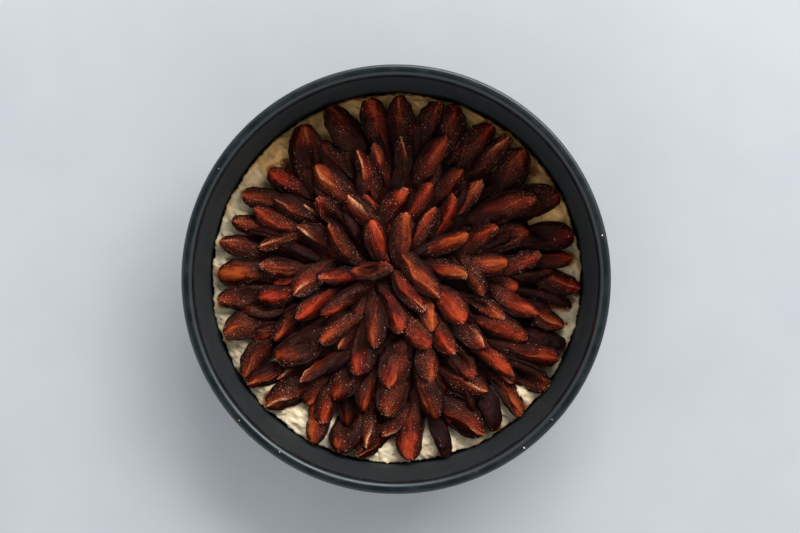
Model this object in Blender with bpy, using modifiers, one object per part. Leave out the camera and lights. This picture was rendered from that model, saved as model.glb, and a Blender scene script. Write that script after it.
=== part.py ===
"""Damson tart in its round baking tin.

Quarters of damson stand in rings on a flat crust that was pressed by hand into a deep round tin.
Three pieces: the tin, the crust, and the heap of damson quarters, which is one solid.
Metres, +Z up. The origin is the middle of the tin's underside.
"""

import math

import bmesh
import bpy
import numpy as np
from mathutils import Matrix

MM = 0.001
GAP = 0.3 * MM

# Turned pieces
TURN_STEPS = 64
MERGE_DISTANCE = 0.01 * MM

# Tin: a deep round cake tin with a rolled rim
TIN_HEIGHT = 70 * MM
TIN_INNER_RADIUS = 120 * MM
TIN_SHEET = 1 * MM
TIN_CORNER_RADIUS = 5 * MM
TIN_CORNER_STEPS = 3
BEAD_RADIUS = 3.5 * MM
BEAD_STEPS = 10
BEAD_SHOULDER = 4

# Crust: a flat bed with a low, lumpy border that stops short of the wall
CRUST_RADIUS = 118.6 * MM
CRUST_BED = 7 * MM
CRUST_BED_RADIUS = 94 * MM
BORDER_RISE = 3 * MM
BORDER_CREST_RADIUS = 111 * MM
BORDER_EDGE = 2.2 * MM
BORDER_BLEND = 8 * MM
BORDER_RADII = (CRUST_BED_RADIUS, 99 * MM, 104 * MM, 108 * MM, BORDER_CREST_RADIUS)
LUMP_HEIGHT = 0.9 * MM
LUMP_LENGTH = 26 * MM
EDGE_WANDER = 0.6 * MM
LUMP_WAVES = 6

# Core of the heap, out of sight under the quarters
CORE_RADIUS = 94 * MM
CORE_SHOULDER_RADIUS = 90 * MM
CORE_EDGE_TOP = 11.5 * MM
CORE_MIDDLE_TOP = 12 * MM
CORE_CENTRE_TOP = 13 * MM
CORE_UNEVENNESS = 1 * MM
CORE_STEPS = 36

# Damson quarter: six points round its section, five sections between its two tips
SECTION_POINTS = 6
SECTION_COUNT = 6
TIP_SHARPNESS = 0.55
HEIGHT_PER_WIDTH = 0.5
HEIGHT_BASE = 4 * MM
STONE_HOLLOW = 0.10
STONE_LENGTH = 0.42
# Across the quarter: side and height of the ridge, the skin's edges and the skin's belly,
# as shares of the width and the height
SECTION = ((0.60, -0.06), (0.0, 0.50), (-0.60, -0.06), (-0.42, -0.36), (0.0, -0.50), (0.42, -0.36))
WALL_CLEARANCE = 1 * MM
UNEVEN_ROLL = 20.0
UNEVEN_TILT = 3.0
UNEVEN_LIFT = 0.5
SEED = 11

# Rings of quarters, from the wall inwards: height of the skin's belly (mm), the outer tip's upward
# tilt (degrees), and how far the inner end goes on under the next ring (mm)
RING_BASES = (8.0, 9.5, 11.0, 12.5, 14.0)
RING_TILTS = (11.0, 15.0, 16.0, 14.0, 7.0)
RING_REACHES = (9.0, 12.0, 12.0, 12.0, 0.0)

# Each quarter's open part as it lies: bearing of its middle from +X (degrees), distance from the centre (mm),
# turn from the radius (degrees), length (mm), width (mm), roll to the left (degrees, 0 is ridge up), lift (mm)
OUTER_RING = (
    (359, 102, -19, 33, 13, 0, 0), (7, 100, -7, 26, 11, 0, 0), (15.5, 101, -12, 32, 17, 0, 0),
    (29, 99, -5, 36, 20, 20, -1), (43, 99, 10, 36, 17, -15, 0), (52, 98, 0, 36, 11, 0, 0),
    (59.5, 99, -2, 34, 15, 0, 0), (64, 93, -15, 24, 8, 0, 0), (70.5, 101, 0, 32, 16, 0, 0),
    (78, 101, -5, 32, 14, 0, 0), (88, 99, 13, 36, 16, 0, 0), (97.5, 100, 8, 34, 16, 0, 0),
    (109, 100, 18, 38, 18, 10, 0), (118, 88, 17, 28, 11, 0, 0), (126, 98, -30, 38, 19, 0, 1),
    (138.5, 92, 11, 30, 13, 0, 0), (149, 98, 20, 30, 13, 0, 0), (160, 100, 8, 24, 10, 0, 0),
    (168.5, 101, -6, 30, 12, 0, 0), (178, 100, 2, 29, 15, 0, 0), (186.5, 99, 10, 32, 14, 25, 0),
    (196.5, 99, 13, 35, 17, 15, 0), (209, 101, 21, 34, 14, 0, 0), (217, 103, -14, 30, 12, 0, 0),
    (227, 102, -27, 32, 16, 0, 0), (241, 102, 11, 34, 15, 20, -1), (241.5, 92, 5, 26, 12, 0, 3),
    (252, 101, -9, 32, 18, 10, 0), (259.5, 96, 0, 29, 11, 0, 2), (262, 105, -40, 30, 13, 0, 0),
    (270, 92, -38, 26, 12, 0, 0), (275, 101, -16, 32, 15, 0, 0), (285.5, 103, 4, 34, 11, 140, 0),
    (295.5, 99, 29, 34, 17, 0, 0), (305.5, 102, -14, 30, 12, 150, 0), (314, 104, -8, 31, 11.5, 0, 0),
    (323, 104, 9, 32, 17, 20, 0), (331, 97, 16, 38, 15, 0, 2), (337.5, 101, 4, 32, 12, 140, -1),
    (345.5, 98, -27, 28, 13, 0, 0), (352.5, 97, -7, 34, 10, 120, 0),
)
SECOND_RING = (
    (7, 79, 10, 30, 12, 0, 0), (20, 75, 4, 29, 15, 0, 0), (33, 84, -13, 39, 16, 0, 3),
    (48, 70, 7, 27, 10, 0, 0), (61, 68, -10, 29, 12, 0, 0), (73.5, 79, -12, 36, 14, 0, 0),
    (87, 77, 0, 28, 10, 0, 0), (97.5, 74, 17, 28, 10, 0, 0), (105.5, 70, 4, 33, 12, 0, 0),
    (124.5, 72, 13, 34, 18, 0, 1), (145.5, 79, 3, 28, 13, 0, 0), (154.5, 87, 5, 29, 12, 0, 0),
    (162.5, 79, 32, 27, 9, 0, 0), (175, 74, 1, 28, 12, 0, 0), (188, 76, 8, 26, 12, 0, 0),
    (203, 77, 29, 25, 10, 0, 0), (215.5, 76, -2, 34, 18, 25, 0), (229.5, 74, -14, 34, 11, 40, 0),
    (243, 73, 8, 28, 16, 0, 0), (255.5, 75, -11, 25, 13, 0, 0), (268, 73, -18, 32, 18, 0, 0),
    (285.5, 77, 5, 32, 18, 25, 0), (303, 80, 31, 32, 15, 0, 0), (320, 81, 9, 32, 11, 0, 0),
    (334.5, 75, 10, 34, 14, 0, 0), (348.5, 76, -25, 35, 13, 0, 0),
)
THIRD_RING = (
    (9, 58, -9, 28, 13, 0, 0), (26, 58, 12, 30, 12, 0, 0), (51.5, 52, 14, 28, 10, 0, 0),
    (73, 52, -21, 27, 12, 0, 0), (92.5, 47, -36, 28, 12, 0, 0), (118, 48, 20, 28, 14, 0, 0),
    (135.5, 58, 0, 30, 13, 0, 0), (152, 58, -9, 27, 12, 0, 0), (181, 56, 40, 28, 15, 0, 0),
    (198.5, 56, 17, 28, 12, 0, 0), (221, 49, -11, 29, 12, 0, 0), (245, 52, 21, 30, 16.5, 0, 0),
    (269, 56, -17, 30, 18, 0, 0), (290.5, 57, -15, 27, 14, 0, 0), (308, 67, 0, 28, 12, 0, 0),
    (323, 58, -9, 28, 13, 0, 0), (341.5, 61, -7, 26, 10, 0, 0), (1.5, 49, -62, 28, 11, 0, 1),
)
FOURTH_RING = (
    (35, 38, -13, 33, 11, 0, 0), (61, 38, 2, 28, 10, 0, 0), (82, 27, 5, 32, 14, 0, 0),
    (117.5, 27, -7, 28, 13, 0, 0), (147.5, 41, -14, 31, 11, 0, 0), (178, 35, 2, 30, 10, 0, 0),
    (202.5, 34, 10, 40, 12, -40, 0), (242.5, 30, 34, 36, 14, 20, 0), (267, 21.5, 30, 28, 14, 0, 0),
    (290, 36, 15, 28, 14, 0, 0), (308.5, 46, -15, 30, 13, 0, 0), (312, 30, -22, 24, 11, 0, 0),
    (333.5, 39, -20, 28, 15, 0, 0), (9.5, 32, -14, 28, 11, 0, 0),
)
CENTRE = ((161, 16, 28, 27, 12, 30, 0), (312, 11, -4, 33, 12, 0, 1), (7.5, 15, -57, 38, 14, 30, 0.5))
RINGS = (OUTER_RING, SECOND_RING, THIRD_RING, FOURTH_RING, CENTRE)


def clear_scene():
    """Remove whatever objects the scene holds."""
    for thing in list(bpy.data.objects):
        bpy.data.objects.remove(thing, do_unlink=True)


def new_collection(name):
    """A collection of that name under the scene's own."""
    collection = bpy.data.collections.new(name)
    bpy.context.scene.collection.children.link(collection)
    return collection


def finish(name, colour, roughness, metallic=0.0):
    """A plain Principled material."""
    material = bpy.data.materials.new(name)
    material.use_nodes = True
    shader = material.node_tree.nodes["Principled BSDF"]
    shader.inputs["Base Color"].default_value = (*colour, 1.0)
    shader.inputs["Roughness"].default_value = roughness
    shader.inputs["Metallic"].default_value = metallic
    return material


def arc(centre, radius, start, end, steps):
    """Points along an arc of a profile, from start to end in degrees, both ends included."""
    angles = np.radians(np.linspace(start, end, steps + 1))
    return [(centre[0] + radius * math.cos(a), centre[1] + radius * math.sin(a)) for a in angles]


def turned(name, profile, collection, steps=TURN_STEPS):
    """Turn a profile of (radius, height) points round Z, from the axis over the top and down the outside."""
    mesh = bpy.data.meshes.new(name)
    edges = [(i, i + 1) for i in range(len(profile) - 1)]
    mesh.from_pydata([(radius, 0.0, height) for radius, height in profile], edges, [])
    piece = bpy.data.objects.new(name, mesh)
    collection.objects.link(piece)
    screw = piece.modifiers.new("Turn", "SCREW")
    screw.steps = steps
    screw.render_steps = steps
    screw.use_merge_vertices = True
    screw.merge_threshold = MERGE_DISTANCE
    return piece


def apply_modifiers(piece):
    """Swap the piece's mesh for the one that its modifiers give."""
    bpy.context.view_layer.update()
    evaluated = piece.evaluated_get(bpy.context.evaluated_depsgraph_get())
    mesh = bpy.data.meshes.new_from_object(evaluated)
    piece.modifiers.clear()
    piece.data = mesh


def read_points(mesh):
    """The mesh's vertices as an array with one row each."""
    points = np.empty(len(mesh.vertices) * 3)
    mesh.vertices.foreach_get("co", points)
    return points.reshape(-1, 3)


def write_points(mesh, points):
    """Move the mesh's vertices to the rows of an array."""
    mesh.vertices.foreach_set("co", points.ravel())
    mesh.update()


def waves(x, y, length, seed):
    """Uneven ground between -1 and 1: crossing waves of about one length, in seeded directions."""
    rng = np.random.default_rng(seed)
    total = np.zeros_like(x)
    for _ in range(LUMP_WAVES):
        heading, phase = rng.uniform(0, 2 * math.pi, 2)
        along = x * math.cos(heading) + y * math.sin(heading)
        total += np.sin(2 * math.pi * along / (length * rng.uniform(0.7, 1.4)) + phase)
    return np.clip(total / math.sqrt(LUMP_WAVES), -1, 1)


def squared(point, centre, radius):
    """Move a point of the rim's outer upper quarter from the circle to a squarer curve of the same radius."""
    side, rise = (point[0] - centre[0]) / radius, (point[1] - centre[1]) / radius
    if side <= 0 or rise <= 0:
        return point
    power = 2 / BEAD_SHOULDER
    return centre[0] + radius * side ** power, centre[1] + radius * rise ** power


def tin_profile():
    """Inner floor, wall, rolled rim, outer wall and underside, as one sheet of even thickness.

    The rim is round on its inner side and has a flatter top and a squarer shoulder on its outer side.
    """
    outer_radius = TIN_INNER_RADIUS + TIN_SHEET
    corner = (outer_radius - TIN_CORNER_RADIUS, TIN_CORNER_RADIUS)
    bead = (TIN_INNER_RADIUS + BEAD_RADIUS, TIN_HEIGHT - BEAD_RADIUS)
    bead_foot = -180 + math.degrees(math.acos((BEAD_RADIUS - TIN_SHEET) / BEAD_RADIUS))
    inside = arc(corner, TIN_CORNER_RADIUS - TIN_SHEET, -90, 0, TIN_CORNER_STEPS)
    rim = [squared(point, bead, BEAD_RADIUS) for point in arc(bead, BEAD_RADIUS, 180, bead_foot, BEAD_STEPS)]
    outside = arc(corner, TIN_CORNER_RADIUS, 0, -90, TIN_CORNER_STEPS)
    return [(0.0, TIN_SHEET)] + inside + rim + outside + [(0.0, 0.0)]


def border_height(radius):
    """Height of the even top: the bed, a smooth swell to the border's crest, and its fall to the edge."""
    swell = np.clip((radius - CRUST_BED_RADIUS) / (BORDER_CREST_RADIUS - CRUST_BED_RADIUS), 0, 1)
    fall = np.clip((radius - BORDER_CREST_RADIUS) / (CRUST_RADIUS - BORDER_CREST_RADIUS), 0, 1)
    return CRUST_BED + BORDER_RISE * swell * swell * (3 - 2 * swell) - BORDER_EDGE * fall * fall


def crust_profile():
    """Top of the crust out to its rounded edge, down its side and back under."""
    radii = BORDER_RADII + (114.5 * MM, 117 * MM)
    top = [(radius, border_height(radius)) for radius in radii]
    floor = TIN_SHEET + GAP
    side = [(CRUST_RADIUS, 5.5 * MM), (CRUST_RADIUS - 0.8 * MM, 2.6 * MM), (115.5 * MM, floor)]
    return [(0.0, CRUST_BED)] + top + side + [(0.0, floor)]


def border_share(radius):
    """How much of the border's unevenness applies at a radius: none on the bed, all of it further out."""
    return np.clip((radius - CRUST_BED_RADIUS) / BORDER_BLEND, 0, 1)


def build_crust(collection):
    """The crust: turned, then given lumps on the border and an edge that wanders."""
    crust = turned("crust", crust_profile(), collection)
    apply_modifiers(crust)
    points = read_points(crust.data)
    x, y, z = points.T
    radius = np.hypot(x, y)
    share = border_share(radius)
    on_top = z > CRUST_BED - BORDER_EDGE
    z += np.where(on_top, share * LUMP_HEIGHT * waves(x, y, LUMP_LENGTH, SEED), 0)
    angle = np.arctan2(y, x)
    wander = waves(CRUST_RADIUS * np.cos(angle), CRUST_RADIUS * np.sin(angle), LUMP_LENGTH, SEED + 1)
    stretch = 1 + np.where(radius > BORDER_CREST_RADIUS, EDGE_WANDER * wander / CRUST_RADIUS, 0)
    write_points(crust.data, np.column_stack((x * stretch, y * stretch, z)))
    return crust


def crust_clearance(collection):
    """Cutter up to the crust's highest possible top and the gap over it."""
    rises = [GAP + LUMP_HEIGHT * border_share(radius) for radius in BORDER_RADII]
    top = [(radius, border_height(radius) + rise) for radius, rise in zip(BORDER_RADII, rises)]
    outside = TIN_INNER_RADIUS + TIN_SHEET
    profile = [(0.0, CRUST_BED + GAP)] + top + [(outside, top[-1][1]), (outside, 0.0), (0.0, 0.0)]
    cutter = turned("crust_clearance", profile, collection)
    cutter.hide_render = True
    cutter.display_type = "WIRE"
    return cutter


def build_core(collection):
    """Uneven cushion under the quarters, highest in the middle."""
    foot = CRUST_BED / 2
    profile = [(0.0, CORE_CENTRE_TOP), (60 * MM, CORE_MIDDLE_TOP)]
    profile += [(CORE_SHOULDER_RADIUS, CORE_EDGE_TOP), (CORE_RADIUS, CRUST_BED + 2 * MM)]
    profile += [(CORE_RADIUS, foot), (0.0, foot)]
    core = turned("plums", profile, collection, CORE_STEPS)
    apply_modifiers(core)
    points = read_points(core.data)
    x, y, z = points.T
    z += np.where(z > CRUST_BED + 3 * MM, CORE_UNEVENNESS * waves(x, y, LUMP_LENGTH, SEED + 2), 0)
    write_points(core.data, np.column_stack((x, y, z)))
    return core


def quarter_height(width):
    """Height of a quarter from its skin to its ridge."""
    return HEIGHT_PER_WIDTH * width + HEIGHT_BASE


def quarter_points(directions, length, width, reach):
    """Shape a unit ball into a quarter that lies along X with its ridge up.

    Along the quarter the section shrinks to both tips, and each sixth of a turn across it is one point
    of SECTION. The ridge dips in the middle, where the stone was. The open length lies round the origin,
    and the inner end goes on past it by the reach. The widest section is in the middle of the open length.
    """
    along = directions[:, 0]
    shift = reach / (length + reach)
    size = np.clip(1 - (along - shift * (1 - along ** 2)) ** 2, 0, 1) ** TIP_SHARPNESS
    turn = np.arctan2(directions[:, 2], directions[:, 1]) - math.pi / SECTION_POINTS
    index = np.rint(turn / (2 * math.pi / SECTION_POINTS)).astype(int) % SECTION_POINTS
    sides, heights = np.array(SECTION)[index].T
    dip = np.where(index == 1, STONE_HOLLOW * np.exp(-(along / STONE_LENGTH) ** 2), 0)
    height = quarter_height(width)
    places = (along * (length + reach) - reach) / 2
    return np.column_stack((places, sides * size * width, (heights * size - dip) * height))


def quarter_place(row, ring, rng):
    """Matrix that lays a quarter in its ring: rolled, tilted, turned to its bearing and lifted."""
    bearing, distance, turn, _, width, roll, lift = row
    roll += rng.uniform(-UNEVEN_ROLL, UNEVEN_ROLL)
    tilt = RING_TILTS[ring] + rng.uniform(-UNEVEN_TILT, UNEVEN_TILT)
    base = RING_BASES[ring] + lift + rng.uniform(-UNEVEN_LIFT, UNEVEN_LIFT)
    height = base * MM + quarter_height(width * MM) / 2
    angle = math.radians(bearing)
    radius = distance * MM
    place = Matrix.Translation((radius * math.cos(angle), radius * math.sin(angle), height))
    heading = Matrix.Rotation(math.radians(bearing + turn), 4, "Z")
    lean = Matrix.Rotation(-math.radians(tilt), 4, "Y")
    return place @ heading @ lean @ Matrix.Rotation(math.radians(roll), 4, "X")


def build_quarter(name, row, ring, rng, collection):
    """One quarter as a closed ball of few faces, shaped, laid in place and kept off the wall."""
    mesh = bpy.data.meshes.new(name)
    shape = bmesh.new()
    bmesh.ops.create_uvsphere(shape, u_segments=SECTION_POINTS, v_segments=SECTION_COUNT, radius=1)
    bmesh.ops.rotate(shape, verts=shape.verts, matrix=Matrix.Rotation(math.pi / 2, 3, "Y"))
    bmesh.ops.rotate(shape, verts=shape.verts, matrix=Matrix.Rotation(math.pi / SECTION_POINTS, 3, "X"))
    shape.to_mesh(mesh)
    shape.free()
    reach = RING_REACHES[ring] * MM
    write_points(mesh, quarter_points(read_points(mesh), row[3] * MM, row[4] * MM, reach))
    mesh.transform(quarter_place(row, ring, rng))
    points = read_points(mesh)
    radius = np.hypot(points[:, 0], points[:, 1])
    inward = np.minimum(1, (TIN_INNER_RADIUS - WALL_CLEARANCE) / np.maximum(radius, MM))
    points[:, :2] *= inward[:, None]
    write_points(mesh, points)
    quarter = bpy.data.objects.new(name, mesh)
    collection.objects.link(quarter)
    return quarter


def keep_largest_body(mesh):
    """Leave only the body with the most faces, so that sealed hollows are filled and scraps are dropped."""
    shape = bmesh.new()
    shape.from_mesh(mesh)
    shape.verts.ensure_lookup_table()
    unseen = set(shape.verts)
    bodies = []
    while unseen:
        start = unseen.pop()
        body = {start}
        front = [start]
        while front:
            near = {edge.other_vert(vert) for vert in front for edge in vert.link_edges}
            front = list(near & unseen)
            unseen.difference_update(front)
            body.update(front)
        bodies.append(body)
    bodies.sort(key=len)
    loose = [vert for body in bodies[:-1] for vert in body]
    bmesh.ops.delete(shape, geom=loose, context="VERTS")
    bmesh.ops.triangulate(shape, faces=shape.faces)
    shape.to_mesh(mesh)
    shape.free()


def join(name, target, operation, solver, operand):
    """Add a Boolean to the target, with an object or a whole collection as its operand."""
    boolean = target.modifiers.new(name, "BOOLEAN")
    boolean.operation = operation
    boolean.solver = solver
    if isinstance(operand, bpy.types.Collection):
        boolean.operand_type = "COLLECTION"
        boolean.collection = operand
    else:
        boolean.object = operand


def build_plums(collection):
    """The heap of quarters: every quarter fused to the core, then cut clear of the crust."""
    quarters = new_collection("quarters")
    cutters = new_collection("cutters")
    core = build_core(collection)
    rng = np.random.default_rng(SEED)
    for ring, rows in enumerate(RINGS):
        for number, row in enumerate(rows):
            build_quarter(f"quarter_{ring}_{number}", row, ring, rng, quarters)
    cutter = crust_clearance(cutters)
    join("Fuse", core, "UNION", "MANIFOLD", quarters)
    join("Clear", core, "DIFFERENCE", "MANIFOLD", cutter)
    apply_modifiers(core)
    keep_largest_body(core.data)
    for spare in (*quarters.objects, *cutters.objects):
        bpy.data.objects.remove(spare, do_unlink=True)
    return core


def shade(piece, angle, material):
    """Give the piece its material and smooth shading up to a crease angle in degrees."""
    piece.data.materials.clear()
    piece.data.materials.append(material)
    piece.data.shade_smooth()
    piece.data.set_sharp_from_angle(angle=math.radians(angle))


def main():
    """Model the tin, the crust and the heap of quarters."""
    clear_scene()
    tart = new_collection("damson_tart")
    tin = turned("tin", tin_profile(), tart)
    apply_modifiers(tin)
    shade(tin, 40, finish("tin_coating", (0.030, 0.032, 0.033), 0.42, 0.3))
    shade(build_crust(tart), 50, finish("crust", (0.62, 0.50, 0.34), 0.85))
    shade(build_plums(tart), 35, finish("damson", (0.19, 0.035, 0.015), 0.30))


main()
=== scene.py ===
"""Looks of a damson tart in its tin: the coated tin, the pressed crust and rings of baked damson quarters."""

import logging
from dataclasses import dataclass, field
from enum import Enum
from math import acos, cos, degrees, pi, radians, sin, sqrt
from typing import NamedTuple

import bpy
import numpy as np
from mathutils import Matrix, Vector

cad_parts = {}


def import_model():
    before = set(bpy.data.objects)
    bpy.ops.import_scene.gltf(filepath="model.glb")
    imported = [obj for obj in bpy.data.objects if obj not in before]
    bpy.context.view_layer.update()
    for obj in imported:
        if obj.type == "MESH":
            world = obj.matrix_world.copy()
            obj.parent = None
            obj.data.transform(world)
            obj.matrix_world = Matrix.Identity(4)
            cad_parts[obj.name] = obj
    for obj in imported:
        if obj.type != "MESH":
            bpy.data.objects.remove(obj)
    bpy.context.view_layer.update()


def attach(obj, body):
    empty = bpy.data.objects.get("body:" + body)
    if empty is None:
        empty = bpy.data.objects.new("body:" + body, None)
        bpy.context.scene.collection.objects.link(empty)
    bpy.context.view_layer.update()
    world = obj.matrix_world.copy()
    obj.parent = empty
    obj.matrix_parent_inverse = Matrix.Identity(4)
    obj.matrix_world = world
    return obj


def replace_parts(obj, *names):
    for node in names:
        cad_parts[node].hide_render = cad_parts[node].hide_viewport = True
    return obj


LOG = logging.getLogger("damson_tart")
MM = 0.001
BODY = "root"
SEED = 11
Array = np.ndarray
Socket = bpy.types.NodeSocket
Input = Socket | float | tuple


class Tone(Enum):
    """How bright a quarter's flesh is, a place on its colour range from 0 (dark) to 1 (bright): partly how it
    baked, partly painted shade, as quarters in the far wall's shade are DARK.
    """

    DARK = 0.05
    BROWN = 0.24
    RED = 0.35
    VIVID = 0.55
    AMBER = 0.53


class Form(Enum):
    """How a quarter's cut side looks."""

    RIDGE = "two faces that meet at a ridge"
    LOBE = "a rounded swelling"
    CUP = "a hollow where the stone was, with a raised rim"


@dataclass(frozen=True)
class Cut:
    """Least and greatest shares from which a form of quarter draws its shape, its painted ridge highlight and
    its pale dried tips, which are also a painted highlight.
    """

    bulge: tuple
    hollow: tuple
    sharpness: tuple
    # painted highlight along the ridge
    painted_ridge_highlight: tuple
    # pale dried tips, also a painted highlight
    dryness_and_highlight: tuple
    softening: int


# Columns: bulge, hollow, sharpness, painted ridge highlight, dryness with painted highlight, softening
CUTS = {
    Form.RIDGE: Cut((-0.05, 0.05), (0.08, 0.30), (0.46, 0.70), (0.4, 1.0), (0.4, 1.0), 1),
    Form.LOBE: Cut((0.04, 0.11), (0.00, 0.16), (0.38, 0.56), (0.1, 0.6), (0.0, 0.6), 4),
    Form.CUP: Cut((0.05, 0.10), (0.45, 0.66), (0.38, 0.56), (0.0, 0.3), (0.2, 0.8), 3),
}


class Lie(NamedTuple):
    """How a quarter lies, and how it looks."""

    bearing: float  # of its middle, from +X, in degrees
    distance: float  # of its middle from the tart's centre, in mm
    turn: float  # from the radius, in degrees
    length: float  # in mm
    width: float  # in mm
    tone: Tone
    form: Form
    roll: float = 0.0  # to the left, in degrees; at 0 its ridge is up
    lift: float = 0.0  # in mm


D, B, R, V, A = Tone
E, L, C = Form

# The quarters of each ring, read from the photograph, with the fields of a Lie
# The DARK tone of the quarters between bearings 15 and 110 is partly painted shade from the tin's far wall
OUTER_RING = (
    (359, 102, -19, 33, 13, R, E), (7, 100, -7, 26, 11, R, L), (15.5, 101, -12, 32, 17, D, C),
    (29, 99, -5, 36, 20, D, C, 20, -1), (43, 99, 10, 36, 17, B, L, -15), (52, 98, 0, 36, 11, B, E),
    (59.5, 99, -2, 34, 15, D, L), (64, 93, -15, 24, 8, D, E), (70.5, 101, 0, 32, 16, D, L),
    (78, 101, -5, 32, 14, D, L), (88, 99, 13, 36, 16, D, L), (97.5, 100, 8, 34, 16, R, L),
    (109, 100, 18, 38, 18, D, L, 10), (118, 88, 17, 28, 11, B, E), (126, 98, -30, 38, 19, B, C, 0, 1),
    (138.5, 92, 11, 30, 13, R, L), (149, 98, 20, 30, 13, B, L), (160, 100, 8, 24, 10, B, L),
    (168.5, 101, -6, 30, 12, R, E), (178, 100, 2, 29, 15, A, L), (186.5, 99, 10, 32, 14, B, C, 25),
    (196.5, 99, 13, 35, 17, B, E, 15), (209, 101, 21, 34, 14, B, E), (217, 103, -14, 30, 12, B, E),
    (227, 102, -27, 32, 16, B, E), (241, 102, 11, 34, 15, A, L, 20, -1), (241.5, 92, 5, 26, 12, R, L, 0, 3),
    (252, 101, -9, 32, 18, B, C, 10), (259.5, 96, 0, 29, 11, B, E, 0, 2), (262, 105, -40, 30, 13, B, E),
    (270, 92, -38, 26, 12, B, E), (275, 101, -16, 32, 15, V, L), (285.5, 103, 4, 34, 11, D, L, 140),
    (295.5, 99, 29, 34, 17, R, E), (305.5, 102, -14, 30, 12, D, L, 150), (314, 104, -8, 31, 11.5, A, E),
    (323, 104, 9, 32, 17, B, C, 20), (331, 97, 16, 38, 15, R, L, 0, 2),
    (337.5, 101, 4, 32, 12, D, L, 140, -1), (345.5, 98, -27, 28, 13, A, E),
    (352.5, 97, -7, 34, 10, D, L, 120),
)
SECOND_RING = (
    (7, 79, 10, 30, 12, R, L), (20, 75, 4, 29, 15, B, C), (33, 84, -13, 39, 16, R, L, 0, 3),
    (48, 70, 7, 27, 10, A, E), (61, 68, -10, 29, 12, B, L), (73.5, 79, -12, 36, 14, R, L),
    (87, 77, 0, 28, 10, D, E), (97.5, 74, 17, 28, 10, B, L), (105.5, 70, 4, 33, 12, R, E),
    (124.5, 72, 13, 34, 18, A, E, 0, 1), (145.5, 79, 3, 28, 13, B, E), (154.5, 87, 5, 29, 12, V, L),
    (162.5, 79, 32, 27, 9, R, E), (175, 74, 1, 28, 12, B, L), (188, 76, 8, 26, 12, V, L),
    (203, 77, 29, 25, 10, B, L), (215.5, 76, -2, 34, 18, B, C, 25), (229.5, 74, -14, 34, 11, B, E, 40),
    (243, 73, 8, 28, 16, B, C), (255.5, 75, -11, 25, 13, B, L), (268, 73, -18, 32, 18, B, L),
    (285.5, 77, 5, 32, 18, B, L, 25), (303, 80, 31, 32, 15, B, E), (320, 81, 9, 32, 11, V, L),
    (334.5, 75, 10, 34, 14, V, L), (348.5, 76, -25, 35, 13, V, L),
)
THIRD_RING = (
    (9, 58, -9, 28, 13, A, L), (26, 58, 12, 30, 12, R, L), (51.5, 52, 14, 28, 10, R, L),
    (73, 52, -21, 27, 12, R, L), (92.5, 47, -36, 28, 12, R, C), (118, 48, 20, 28, 14, B, E),
    (135.5, 58, 0, 30, 13, R, C), (152, 58, -9, 27, 12, B, E), (181, 56, 40, 28, 15, R, E),
    (198.5, 56, 17, 28, 12, V, L), (221, 49, -11, 29, 12, B, L), (245, 52, 21, 30, 16.5, R, C),
    (269, 56, -17, 30, 18, R, E), (290.5, 57, -15, 27, 14, B, L), (308, 67, 0, 28, 12, R, C),
    (323, 58, -9, 28, 13, R, E), (341.5, 61, -7, 26, 10, A, C), (1.5, 49, -62, 28, 11, B, L, 0, 1),
)
FOURTH_RING = (
    (35, 38, -13, 33, 11, A, E), (61, 38, 2, 28, 10, R, L), (82, 27, 5, 32, 14, B, L),
    (117.5, 27, -7, 28, 13, R, L), (147.5, 41, -14, 31, 11, B, L), (178, 35, 2, 30, 10, R, L),
    (202.5, 34, 10, 40, 12, D, L, -40), (242.5, 30, 34, 36, 14, B, L, 20), (267, 21.5, 30, 28, 14, R, L),
    (290, 36, 15, 28, 14, R, L), (308.5, 46, -15, 30, 13, R, E), (312, 30, -22, 24, 11, A, E),
    (333.5, 39, -20, 28, 15, V, L), (9.5, 32, -14, 28, 11, A, L),
)
CENTRE = (
    (161, 16, 28, 27, 12, B, C, 30), (312, 11, -4, 33, 12, R, E, 0, 1),
    (7.5, 15, -57, 38, 14, A, E, 30, 0.5),
)


def waves(points: Array, length: float, seed: int, count: int = 6, solid: bool = False) -> Array:
    """Uneven ground between -1 and 1: crossing sine waves in seeded directions.

    The sum of sin(2 pi along / length + phase) is divided by the root of the count and clipped.

    Args:
        points: Rows of coordinates, in metres.
        length: Middle length of a wave, in metres; each is 0.7 to 1.4 times that.
        seed: Seed of the waves.
        count: How many waves are added.
        solid: Draw heading and phase in the order in which the crust's solid draws them.

    Returns:
        One height for each row.
    """
    rng = np.random.default_rng(seed)
    total = np.zeros(len(points))
    for _ in range(count):
        if solid:
            angle, phase = rng.uniform(0, 2 * pi, 2)
            heading = np.array((cos(angle), sin(angle)))
        else:
            heading = rng.normal(size=points.shape[1])
            heading /= np.linalg.norm(heading)
            phase = rng.uniform(0, 2 * pi)
        total += np.sin(2 * pi * (points @ heading) / (length * rng.uniform(0.7, 1.4)) + phase)
    return np.clip(total / sqrt(count), -1, 1)


def smooth_step(value: Array, low: float, high: float) -> Array:
    """Smooth rise from 0 at low to 1 at high: 3t^2 - 2t^3 of the clipped share t."""
    share = np.clip((value - low) / (high - low), 0, 1)
    return share * share * (3 - 2 * share)


def add_object(name: str, data: bpy.types.ID) -> bpy.types.Object:
    """Put a new object in the scene.

    Args:
        name: Name of the object.
        data: Its mesh, light or camera.

    Returns:
        The object.
    """
    thing = bpy.data.objects.new(name, data)
    bpy.context.scene.collection.objects.link(thing)
    return thing


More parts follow.
